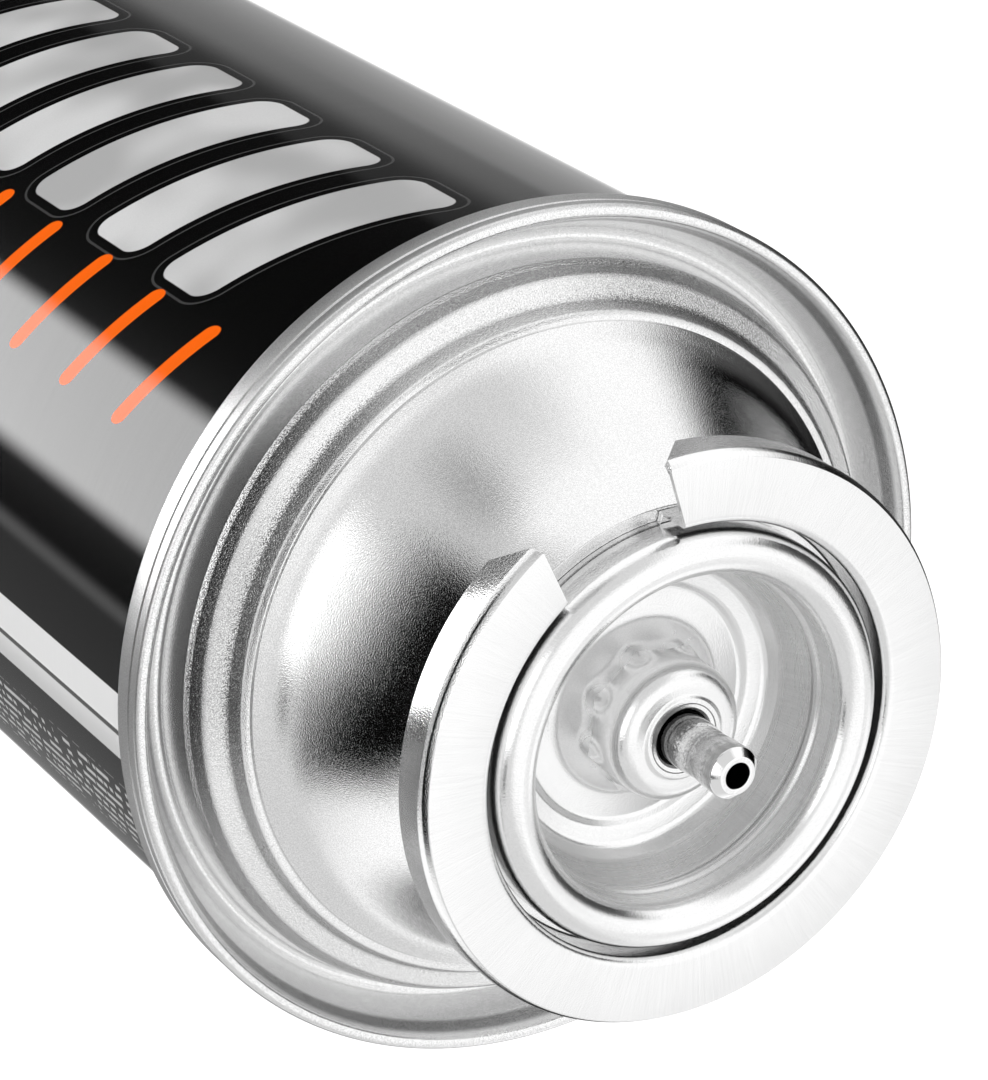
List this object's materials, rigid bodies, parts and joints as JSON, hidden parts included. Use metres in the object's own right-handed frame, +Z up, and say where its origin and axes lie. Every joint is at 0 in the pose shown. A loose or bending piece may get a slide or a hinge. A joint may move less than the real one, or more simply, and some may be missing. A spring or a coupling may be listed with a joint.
{
  "type": "fuel canister",
  "caption": "Upright sealed fuel gas can with a domed tinplate top, a notched bayonet collar and a press-in nozzle valve.",
  "frame": {"origin": "middle of the base rim, where the can stands", "axes": "+Z up along the can's axis, with the collar's notch at -Y"},
  "size_m": [0.069, 0.069, 0.1897],
  "materials": {
    "printed_tinplate": "glossy black print with silver and orange fields",
    "bare_tinplate": "bright tinplate with a fine drawn grain",
    "polished_steel": "polished",
    "spring_steel": "drawn wire",
    "black_rubber": "matte",
    "gasket_rubber": "matte",
    "housing_plastic": "natural moulded"
  },
  "bodies": {
    "can": {"can_body": "printed_tinplate", "mounting_cup": "bare_tinplate", "cup_gasket": "gasket_rubber", "bayonet_collar": "bare_tinplate", "valve_housing": "housing_plastic", "stem_gasket": "black_rubber", "valve_spring": "spring_steel"},
    "stem": {"valve_stem": "polished_steel"}
  },
  "joints": [
    {"name": "stem_press", "type": "slide", "parent": "can", "child": "stem", "axis": [0, 0, -1], "range_m": [0, 0.002], "stiffness_N_per_m": 5000, "springref_m": -0.002, "deforming": ["valve_spring"]}
  ]
}
